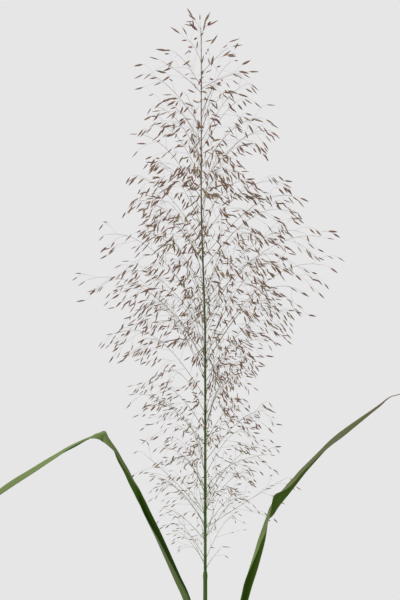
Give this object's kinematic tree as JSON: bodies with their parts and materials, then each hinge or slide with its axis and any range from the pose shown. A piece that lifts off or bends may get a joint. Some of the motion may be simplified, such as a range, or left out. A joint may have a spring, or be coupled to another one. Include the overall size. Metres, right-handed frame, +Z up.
{
  "type": "potted lovegrass",
  "caption": "Slender grass in a plain clay pot: one tall stem with an airy open seed head of fine side branches and tiny spikelets, long narrow arching leaves, and young shoots.",
  "frame": {"origin": "centre of the flat base of the pot, on the surface it stands on", "axes": "+Z up along the stem, +X to the right in the picture, -Y towards the viewer of the picture"},
  "size_m": [0.4241, 0.4046, 0.9346],
  "materials": {
    "pot_clay": "matt unglazed terracotta",
    "potting_soil": "dark crumbly potting soil",
    "culm": "smooth green stem with a faint bloom",
    "leaf_blade": "satin green blade with fine lengthwise veins",
    "seed_head": "dry purplish brown spikelets on thin pale green branches"
  },
  "bodies": {
    "root": {"pot": "pot_clay", "soil": "potting_soil", "culm": "culm", "leaf_flag": "leaf_blade", "leaf_2": "leaf_blade", "leaf_3": "leaf_blade", "leaf_4": "leaf_blade", "shoot_1": "leaf_blade", "shoot_2": "leaf_blade", "shoot_3": "leaf_blade", "shoot_4": "leaf_blade", "shoot_5": "leaf_blade", "shoot_6": "leaf_blade", "spray_01": "seed_head", "spray_02": "seed_head", "spray_03": "seed_head", "spray_04": "seed_head", "spray_05": "seed_head", "spray_06": "seed_head", "spray_07": "seed_head", "spray_08": "seed_head", "spray_09": "seed_head", "spray_10": "seed_head", "spray_11": "seed_head", "spray_12": "seed_head", "spray_13": "seed_head", "spray_14": "seed_head", "spray_15": "seed_head", "spray_16": "seed_head", "spray_17": "seed_head", "spray_18": "seed_head", "spray_19": "seed_head", "spray_20": "seed_head", "spray_21": "seed_head", "spray_22": "seed_head", "spray_23": "seed_head", "spray_24": "seed_head", "spray_25": "seed_head", "spray_26": "seed_head", "spray_27": "seed_head", "spray_28": "seed_head", "spray_29": "seed_head", "spray_30": "seed_head", "spray_31": "seed_head", "spray_32": "seed_head", "spray_33": "seed_head", "spray_34": "seed_head", "spray_35": "seed_head", "spray_36": "seed_head", "spray_37": "seed_head", "spray_38": "seed_head", "spray_39": "seed_head", "spray_40": "seed_head", "spray_41": "seed_head", "spray_42": "seed_head", "spray_43": "seed_head", "spray_44": "seed_head", "spray_45": "seed_head"}
  },
  "joints": []
}
